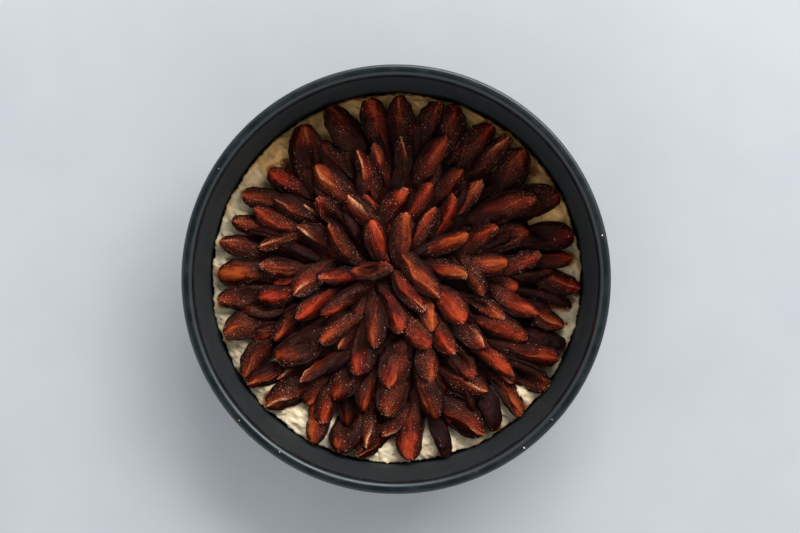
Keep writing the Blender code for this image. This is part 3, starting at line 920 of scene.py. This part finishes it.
@dataclass
class Quarter:
    """One damson quarter: two cut faces that meet at a ridge, over a rounded skin."""

    lie: Lie
    ring: int
    place: Matrix
    seed: int
    reach: float
    inner_sharpness: float = 0.55
    stations: int = 42
    face_steps: int = 13
    skin_steps: int = 20

    def section(self, bulge: float, softening: int) -> tuple[Array, Array, Array]:
        """Outline across the quarter, in shares of its width and height.

        Each cut face runs from inside the skin's lip to the ridge and stands out by the bulge times
        sin(pi s). The skin stands a little higher than the flesh at its lip and goes round below in a
        half turn, (cos a, sin a).

        Args:
            bulge: How far the cut faces stand out, or in if it is below 0.
            softening: How often the cut side is averaged with its neighbours.

        Returns:
            The outline, and the skin and ridge shares of its points.
        """
        face_side, face_height, ridge_height = 0.50, -0.03, 0.50
        skin_side, lip_height, belly = 0.61, -0.01, 0.49
        share = np.linspace(0, 1, self.face_steps)
        swell = bulge * np.sin(pi * share)
        right = np.column_stack((face_side * (1 - share) + swell * 0.8,
                                 face_height + (ridge_height - face_height) * share + swell))
        left = (right * (-1, 1))[-2::-1]
        cut = np.concatenate((right, left))
        for _ in range(softening):
            cut[1:-1] = 0.5 * cut[1:-1] + 0.25 * (cut[:-2] + cut[2:])
        turn = np.linspace(0.05, pi - 0.05, self.skin_steps)
        skin = np.column_stack((-skin_side * np.cos(turn), lip_height - belly * np.sin(turn) ** 0.85))
        lip = np.array([(face_side + 0.015, 0.02), (0.5 * (face_side + skin_side) + 0.01, 0.035)])
        outline = np.concatenate((cut, lip * (-1, 1), skin, lip[::-1]))
        is_skin = np.zeros(len(outline))
        is_skin[len(cut):] = 1.0
        middle = len(right) - 1
        ridge = np.exp(-(np.minimum(np.abs(np.arange(len(outline)) - middle), 12) / 2.0) ** 2)
        rounded = 0.6 * outline + 0.2 * (np.roll(outline, 1, axis=0) + np.roll(outline, -1, axis=0))
        return rounded, is_skin, ridge

    def surface(self, crust: Crust, tin: BakingTin) -> Surface:
        """The quarter in place: sections that shrink to both tips, a dip where the stone was, and wrinkles.

        A section's size at the share t of the half length is 1 - t^2 raised to the sharpness, with t
        shifted so that one end is fuller. The whole is bent to one side with t^2, and the ridge sways with
        1 - t^2.

        Args:
            crust: The crust, below whose top no point goes.
            tin: The tin, beyond whose wall no point goes.

        Returns:
            The closed surface.
        """
        rng = np.random.default_rng(self.seed)
        lie, reach = self.lie, self.reach * MM
        length, width = lie.length * MM + reach, lie.width * MM
        height = 0.5 * width + 4 * MM
        cut = CUTS[lie.form]
        skew = self.reach / (lie.length + self.reach) + rng.uniform(-0.12, 0.16)
        bend, sway = rng.uniform(-3.4, 3.4) * MM, rng.uniform(-0.30, 0.30)
        hollow, dip_place = rng.uniform(*cut.hollow), rng.uniform(-0.1, 0.35)
        dip_length, ripple = rng.uniform(0.34, 0.55), rng.uniform(0, 2 * pi)
        curl = rng.uniform(0.0, 1.6) * MM
        outline, is_skin, is_ridge = self.section(rng.uniform(*cut.bulge), cut.softening)
        columns = len(outline)
        along = -np.cos(np.linspace(0, pi, self.stations + 2))[1:-1]
        shifted = along - skew * (1 - along ** 2)
        sharpness = np.where(along > 0, rng.uniform(*cut.sharpness), self.inner_sharpness)
        size = np.clip(1 - shifted ** 2, 0, 1) ** sharpness
        dip = hollow * np.exp(-((along - dip_place) / dip_length) ** 2)
        sides = outline[:, 0] * size[:, None] * width
        swaying = (sway + 0.13 * np.sin(4.5 * along + ripple)) * (1 - along ** 2)
        sides += (is_ridge * width) * swaying[:, None]
        sides += bend * (along ** 2 - 0.3)[:, None]
        from_ridge = np.minimum(np.abs(np.arange(columns) - (self.face_steps - 1)), 30)
        wide_ridge = np.exp(-(from_ridge / (0.4 * self.face_steps)) ** 2)
        heights = (outline[:, 1] * size[:, None] - dip[:, None] * wide_ridge) * height
        heights += curl * (np.clip(along, 0, 1) ** 3)[:, None]
        places = (along * length - reach) / 2
        shape = np.stack((np.repeat(places[:, None], columns, axis=1), sides, heights), -1)
        shape = shape.reshape(-1, 3)
        tips = np.array([[(-length - reach) / 2, bend * 0.7, 0], [(length - reach) / 2, bend * 0.7, curl]])
        local = np.concatenate((shape, tips))
        ends = np.concatenate((np.repeat(along, columns), [-1.0, 1.0]))
        twist = radians(rng.uniform(-16, 16)) * ends
        local[:, 1:] = np.column_stack((
            local[:, 1] * np.cos(twist) - local[:, 2] * np.sin(twist),
            local[:, 1] * np.sin(twist) + local[:, 2] * np.cos(twist),
        ))
        inside = local.T
        outward = local * (0.0, 1.0, 1.0)
        away = np.linalg.norm(outward, axis=1, keepdims=True)
        outward = outward / np.maximum(away, 0.2 * MM)
        stretched = local * (0.45, 1.0, 1.0)
        wrinkle = 0.18 * MM * waves(stretched, 3.2 * MM, self.seed + 1, 10)
        wrinkle += 0.13 * MM * waves(stretched, 1.3 * MM, self.seed + 2, 14) * (1 + np.clip(ends, 0, 1))
        wrinkle += 0.45 * MM * waves(local, 8 * MM, self.seed + 3, 6)
        local = local + outward * (wrinkle * np.clip(away[:, 0] / (2 * MM), 0, 1))[:, None]
        matrix = np.array(self.place)
        points = local @ matrix[:3, :3].T + matrix[:3, 3]
        radius = np.hypot(points[:, 0], points[:, 1])
        points[:, :2] *= np.minimum(1, (tin.inner_radius - 1.2 * MM) / np.maximum(radius, MM))[:, None]
        radius = np.minimum(np.hypot(points[:, 0], points[:, 1]), crust.radius)
        points[:, 2] = np.maximum(points[:, 2], crust.even_height(radius) - 0.2 * MM)
        dryness_and_highlight, painted_ridge_highlight = rng.uniform(*cut.dryness_and_highlight), rng.uniform(*cut.painted_ridge_highlight)
        rising = np.clip(1 - from_ridge / (self.face_steps - 1), 0, 1)
        # face is lower toward the skin and in the stone hollow, where the material paints shade
        face_share = rising * np.clip(1 - 1.6 * dip[:, None] * wide_ridge, 0, 1)
        count = len(points)
        values = {
            "skin": np.concatenate((np.tile(is_skin, self.stations), [1.0, 0.5])),
            # ridge and tip carry the painted highlight on the ridge and the dried, highlighted tips
            "ridge": np.concatenate((np.tile(is_ridge * painted_ridge_highlight, self.stations), [0.0, painted_ridge_highlight])),
            "tip": dryness_and_highlight * np.clip(ends + 0.25, 0, 1) ** 1.5,
            "warm": np.full(count, float(lie.tone not in (Tone.BROWN, Tone.AMBER)) * rng.uniform(0.5, 1.0)),
            # outer runs from the inner end to the outer one, for painted shade at the inner end and painted
            # light at the outer
            "outer": ends if self.ring < 4 else 0.45 + 0.55 * ends,
            "along": inside[0] + self.seed * MM,
            "across": inside[1],
            "raised": inside[2],
            "face": np.concatenate((face_share.ravel(), [0.0, 0.0])),
            "tone": np.full(count, lie.tone.value + rng.uniform(-0.1, 0.1)),
        }
        return closed(points, columns, False, values)


@dataclass
class DamsonHeap:
    """Rings of damson quarters on a dark, juicy core, each ring leaning on the one outside it."""

    crust: Crust
    tin: BakingTin
    rings: tuple = (OUTER_RING, SECOND_RING, THIRD_RING, FOURTH_RING, CENTRE)
    names: tuple = ("outer", "second", "third", "fourth", "centre")
    bases: tuple = (8.0, 9.5, 11.0, 12.5, 14.0)
    tilts: tuple = (11.0, 15.0, 16.0, 14.0, 7.0)
    reaches: tuple = (9.0, 12.0, 12.0, 12.0, 0.0)
    uneven_roll: float = 20.0
    uneven_tilt: float = 3.0
    uneven_lift: float = 0.5
    grain_count: int = 6000
    grain_widths: tuple = (0.09 * MM, 0.40 * MM)
    under_rings: tuple = ((86, 26), (64, 20), (43, 14), (20, 7))
    under_lift: float = 3.2 * MM
    under_tilt: float = 8.0

    def place(self, lie: Lie, height: float, heading: float, tilt: float, roll: float) -> Matrix:
        """A quarter's place: rolled, tilted, turned to its heading and moved out.

        Args:
            lie: How the quarter lies.
            height: Height of its middle, in metres.
            heading: Its heading, in degrees.
            tilt: Its tilt, in degrees.
            roll: Its roll, in degrees.

        Returns:
            The place.
        """
        angle = radians(lie.bearing)
        spot = Vector((lie.distance * MM * cos(angle), lie.distance * MM * sin(angle), height))
        turned_out = Matrix.Rotation(radians(heading), 4, "Z")
        lean = Matrix.Rotation(radians(-tilt), 4, "Y")
        return Matrix.Translation(spot) @ turned_out @ lean @ Matrix.Rotation(radians(roll), 4, "X")

    def quarters(self) -> list[Quarter]:
        """Every quarter with its place, all as in the solid.

        Returns:
            The quarters.
        """
        rng = np.random.default_rng(SEED)
        made = []
        for ring, rows in enumerate(self.rings):
            for row in rows:
                lie = Lie(*row)
                roll = lie.roll + rng.uniform(-self.uneven_roll, self.uneven_roll)
                tilt = self.tilts[ring] + rng.uniform(-self.uneven_tilt, self.uneven_tilt)
                base = self.bases[ring] + lie.lift + rng.uniform(-self.uneven_lift, self.uneven_lift)
                height = base * MM + (0.5 * lie.width * MM + 4 * MM) / 2
                place = self.place(lie, height, lie.bearing + lie.turn, tilt, roll)
                made.append(Quarter(lie, ring, place, 1000 + 10 * len(made), self.reaches[ring]))
        return made

    def under_layer(self) -> list[Quarter]:
        """Quarters low in the gaps between the rings, given the DARK tone as painted shade, at seeded
        bearings, rolled to either side.

        Returns:
            The quarters.
        """
        rng = np.random.default_rng(SEED + 3)
        made = []
        for distance, count in self.under_rings:
            for number in range(count):
                bearing = 360 * (number + rng.uniform(-0.25, 0.25)) / count
                length, width = rng.uniform(28, 33), rng.uniform(12, 15)
                roll = rng.choice((-1, 1)) * rng.uniform(5, 110)
                form = tuple(Form)[rng.integers(3)]
                # the DARK tone is painted shade of the gaps
                lie = Lie(bearing, distance, rng.uniform(-25, 25), length, width, Tone.DARK, form, roll)
                height = self.crust.bed + self.under_lift
                place = self.place(lie, height, lie.bearing + lie.turn, self.under_tilt, roll)
                seed = 5000 + 10 * len(made)
                made.append(Quarter(lie, -1, place, seed, 0.0, stations=26, face_steps=9, skin_steps=12))
        return made

    def middle_lines(self, quarters: list[Quarter]) -> Array:
        """Middle line of each outer quarter, seen from above.

        Args:
            quarters: Every quarter.

        Returns:
            Both ends of each line.
        """
        lines = []
        for quarter in (quarter for quarter in quarters if quarter.ring == 0):
            half = quarter.lie.length * MM * 0.42
            lines.append([(quarter.place @ Vector((side * half, 0, 0))).xy for side in (-1, 1)])
        return np.array(lines)

    def core(self) -> Surface:
        """The cushion under the quarters: a turned outline whose top is uneven with crossing waves.

        Returns:
            The closed surface.
        """
        profile = np.array([
            (0, 12), (15, 11.8), (30, 11.4), (45, 11.0), (60, 10.6), (75, 10.2),
            (84, 9.8), (88, 9.4), (91, 8.6), (92, 7.4), (60, 7.2), (0, 7.2),
        ]) * MM
        fine = [profile[0]]
        for start, end in zip(profile[:-1], profile[1:]):
            fine += [start + (end - start) * share for share in np.linspace(0, 1, 5)[1:]]
        surface = turned(np.array(fine), 300)
        points = surface.points
        share = smooth_step(points[:, 2], self.crust.bed + 1 * MM, self.crust.bed + 4 * MM)
        points[:, 2] += share * (1.0 * MM * waves(points[:, :2], 12 * MM, 41, 10))
        points[:, 2] += share * (0.4 * MM * waves(points[:, :2], 4 * MM, 42, 12))
        return surface

    def sugar(self, surfaces: list[Surface]) -> Surface:
        """Sugar crystals on the flesh: small cubes, turned at random, on seeded points that look up.

        Args:
            surfaces: Surfaces of the quarters.

        Returns:
            All crystals as one surface.
        """
        rng = np.random.default_rng(SEED + 5)
        points = np.concatenate([surface.points for surface in surfaces])
        skin = np.concatenate([surface.values["skin"] for surface in surfaces])
        raised = np.concatenate([surface.points[:, 2] > surface.points[:, 2].mean() for surface in surfaces])
        patch = np.clip(0.5 + 0.6 * waves(points, 26 * MM, 51, 6), 0, 1) ** 2
        weight = raised * np.where(skin < 0.5, 1.0, 0.25) * (0.08 + patch)
        chosen = points[rng.choice(len(points), self.grain_count, replace=False, p=weight / weight.sum())]
        return scattered_cubes(chosen, rng, *self.grain_widths)

    def build(self, quarters: list[Quarter]) -> list[bpy.types.Object]:
        """Build the core, the rings of quarters and the sugar in place of the heap's solid.

        Args:
            quarters: Every quarter.

        Returns:
            The pieces.
        """
        material = BakedDamson().material()
        pieces = [self.core().build("damson_core", DarkJuice().material(), "damson")]
        surfaces = []
        for ring, name in enumerate(self.names):
            made = [quarter.surface(self.crust, self.tin) for quarter in quarters if quarter.ring == ring]
            surfaces += made
            pieces.append(merge(made).build(f"damson_{name}_ring", material, "damson"))
        lower = [quarter.surface(self.crust, self.tin) for quarter in self.under_layer()]
        pieces.append(merge(lower).build("damson_under_layer", material, "damson"))
        pieces.append(self.sugar(surfaces).build("sugar_crystals", SugarGrain().material(), "damson"))
        for piece in pieces:
            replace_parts(piece, "plums")
        return pieces


CUBE_CORNERS = np.array([[x, y, z] for x in (-1, 1) for y in (-1, 1) for z in (-1, 1)], float)
CUBE_QUADS = np.array([[0, 1, 3, 2], [4, 6, 7, 5], [0, 4, 5, 1], [2, 3, 7, 6], [0, 2, 6, 4], [1, 5, 7, 3]])


def random_turns(rng: np.random.Generator, count: int) -> Array:
    """Random rotation matrices, from unit quaternions.

    Args:
        rng: Source of the random numbers.
        count: How many matrices.

    Returns:
        The matrices.
    """
    turns = rng.normal(size=(count, 4))
    w, x, y, z = (turns / np.linalg.norm(turns, axis=1, keepdims=True)).T
    rows = [
        [1 - 2 * (y * y + z * z), 2 * (x * y - z * w), 2 * (x * z + y * w)],
        [2 * (x * y + z * w), 1 - 2 * (x * x + z * z), 2 * (y * z - x * w)],
        [2 * (x * z - y * w), 2 * (y * z + x * w), 1 - 2 * (x * x + y * y)],
    ]
    return np.array(rows).transpose(2, 0, 1)


def scattered_cubes(places: Array, rng: np.random.Generator, low: float, high: float) -> Surface:
    """Blunt cubes of seeded width, stretch and turn, joined as arrays.

    Args:
        places: Middle of each cube.
        rng: Source of the random numbers.
        low: Least width, in metres.
        high: Greatest width, in metres.

    Returns:
        All cubes as one surface.
    """
    count = len(places)
    sizes = rng.uniform(low, high, (count, 1, 1)) * rng.uniform(0.7, 1.3, (count, 1, 3)) / 2
    corners = CUBE_CORNERS * sizes * rng.uniform(0.75, 1.1, (count, 8, 1))
    corners = np.einsum("nij,nkj->nki", random_turns(rng, count), corners) + places[:, None, :]
    quads = (CUBE_QUADS[None] + 8 * np.arange(count)[:, None, None]).reshape(-1, 4)
    return Surface(corners.reshape(-1, 3), quads, np.zeros((0, 3), int))


@dataclass
class Crumbs:
    """Crumbs and flour specks on the crust's border and on the rim."""

    crust: Crust
    tin: BakingTin
    border_count: int = 200
    # Flour specks on the rim, each as bearing (degrees) and distance (mm)
    rim_specks: tuple = (
        (307.2, 124.8), (148, 123.2), (222, 124.3), (236, 122.8), (318, 123.6), (12, 124.1),
    )

    def build(self) -> bpy.types.Object:
        """Build all crumbs as one piece.

        Returns:
            The piece.
        """
        rng = np.random.default_rng(SEED + 9)
        angle = rng.uniform(0, 2 * pi, self.border_count)
        radius = rng.uniform(100 * MM, self.crust.radius - 1.5 * MM, self.border_count)
        x, y = radius * np.cos(angle), radius * np.sin(angle)
        border = np.column_stack((x, y, self.crust.height(x, y) + 0.1 * MM))
        angle, radius = np.array(self.rim_specks).T * ((pi / 180,), (MM,))
        top = np.full(len(angle), self.tin.height - 0.1 * MM)
        rim = np.column_stack((radius * np.cos(angle), radius * np.sin(angle), top))
        surface = scattered_cubes(np.concatenate((border, rim)), rng, 0.3 * MM, 1.0 * MM)
        return surface.build("crumbs", DryCrumb().material(), "crust")


@dataclass
class Studio:
    """Pale floor, soft light from the far side and a camera that looks straight down."""

    floor_colour: tuple = tint(166, 170, 175)
    floor_pale: tuple = tint(171, 175, 179)
    floor_half: float = 3.0
    floor_drop: float = 0.05 * MM
    camera_place: tuple = (2.26 * MM, 7.48 * MM, 724.8 * MM)
    lens: float = 50.0
    sensor: float = 36.0
    window_place: tuple = (0.83, 1.71, 1.65)
    window_width: float = 2.3
    window_height: float = 1.0
    window_watts: float = 80.0
    window_colour: tuple = (1.0, 0.985, 0.965)
    room_colour: tuple = (0.96, 0.98, 1.0, 1.0)
    # Strength of the room's light at heights from level (0) to straight up (1)
    room_lights: tuple = ((0.0, 0.88), (0.35, 1.26), (0.76, 1.28), (0.93, 0.05))

    def floor(self) -> None:
        """A wide floor with a faint mottle, just under the tin."""
        tree = NodeTree("floor")
        mottle = tree.span(tree.noise(9, 4, 0.6), 0.3, 0.7)
        tree.set(Base_Color=tree.mix(mottle, self.floor_colour, self.floor_pale), Roughness=0.7)
        mesh = bpy.data.meshes.new("floor")
        corners = np.array(((-1, -1, 0), (1, -1, 0), (1, 1, 0), (-1, 1, 0))) * self.floor_half
        mesh.from_pydata(corners, [], [(0, 1, 2, 3)])
        mesh.materials.append(tree.material)
        floor = add_object("floor", mesh)
        floor.location.z = -self.floor_drop

    def window(self) -> None:
        """A wide window as an area light that faces the middle of the tart."""
        light = bpy.data.lights.new("window", "AREA")
        light.shape = "RECTANGLE"
        light.size, light.size_y = self.window_width, self.window_height
        light.energy, light.color = self.window_watts, self.window_colour
        lamp = add_object("window", light)
        lamp.location = self.window_place
        lamp.rotation_euler = (-Vector(self.window_place)).to_track_quat("-Z", "Y").to_euler()

    def room(self) -> None:
        """Light from the room, which is brightest at middle height and dim overhead."""
        world = bpy.data.worlds.new("room")
        world.use_nodes = True
        nodes, links = world.node_tree.nodes, world.node_tree.links
        background = nodes["Background"]
        place = nodes.new("ShaderNodeTexCoord")
        split = nodes.new("ShaderNodeSeparateXYZ")
        ramp = nodes.new("ShaderNodeValToRGB")
        set_stops(ramp.color_ramp, [(height, (strength,) * 3) for height, strength in self.room_lights])
        links.new(place.outputs["Generated"], split.inputs["Vector"])
        links.new(split.outputs["Z"], ramp.inputs["Fac"])
        links.new(ramp.outputs["Color"], background.inputs["Strength"])
        background.inputs["Color"].default_value = self.room_colour
        bpy.context.scene.world = world

    def camera(self) -> None:
        """A camera over the tart that looks straight down."""
        camera = add_object("camera", bpy.data.cameras.new("camera"))
        camera.data.lens, camera.data.sensor_width = self.lens, self.sensor
        camera.data.dof.use_dof = False
        camera.location = self.camera_place
        bpy.context.scene.camera = camera

    def build(self) -> None:
        """Make the floor, the lights and the camera."""
        self.floor()
        self.window()
        self.room()
        self.camera()
        bpy.context.scene.view_settings.view_transform = "Standard"


def main() -> None:
    """Build the studio, tin, crust, heap and crumbs in order, and log each piece's face count."""
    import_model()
    Studio().build()
    tin = BakingTin()
    crust = Crust()
    heap = DamsonHeap(crust, tin)
    quarters = heap.quarters()
    pieces = [tin.build(), crust.build(heap.middle_lines(quarters)), *heap.build(quarters)]
    pieces.append(Crumbs(crust, tin).build())
    for piece in pieces:
        LOG.info("%s: %d faces", piece.name, len(piece.data.polygons))


if __name__ == "__main__":
    logging.basicConfig(level=logging.INFO)
    main()
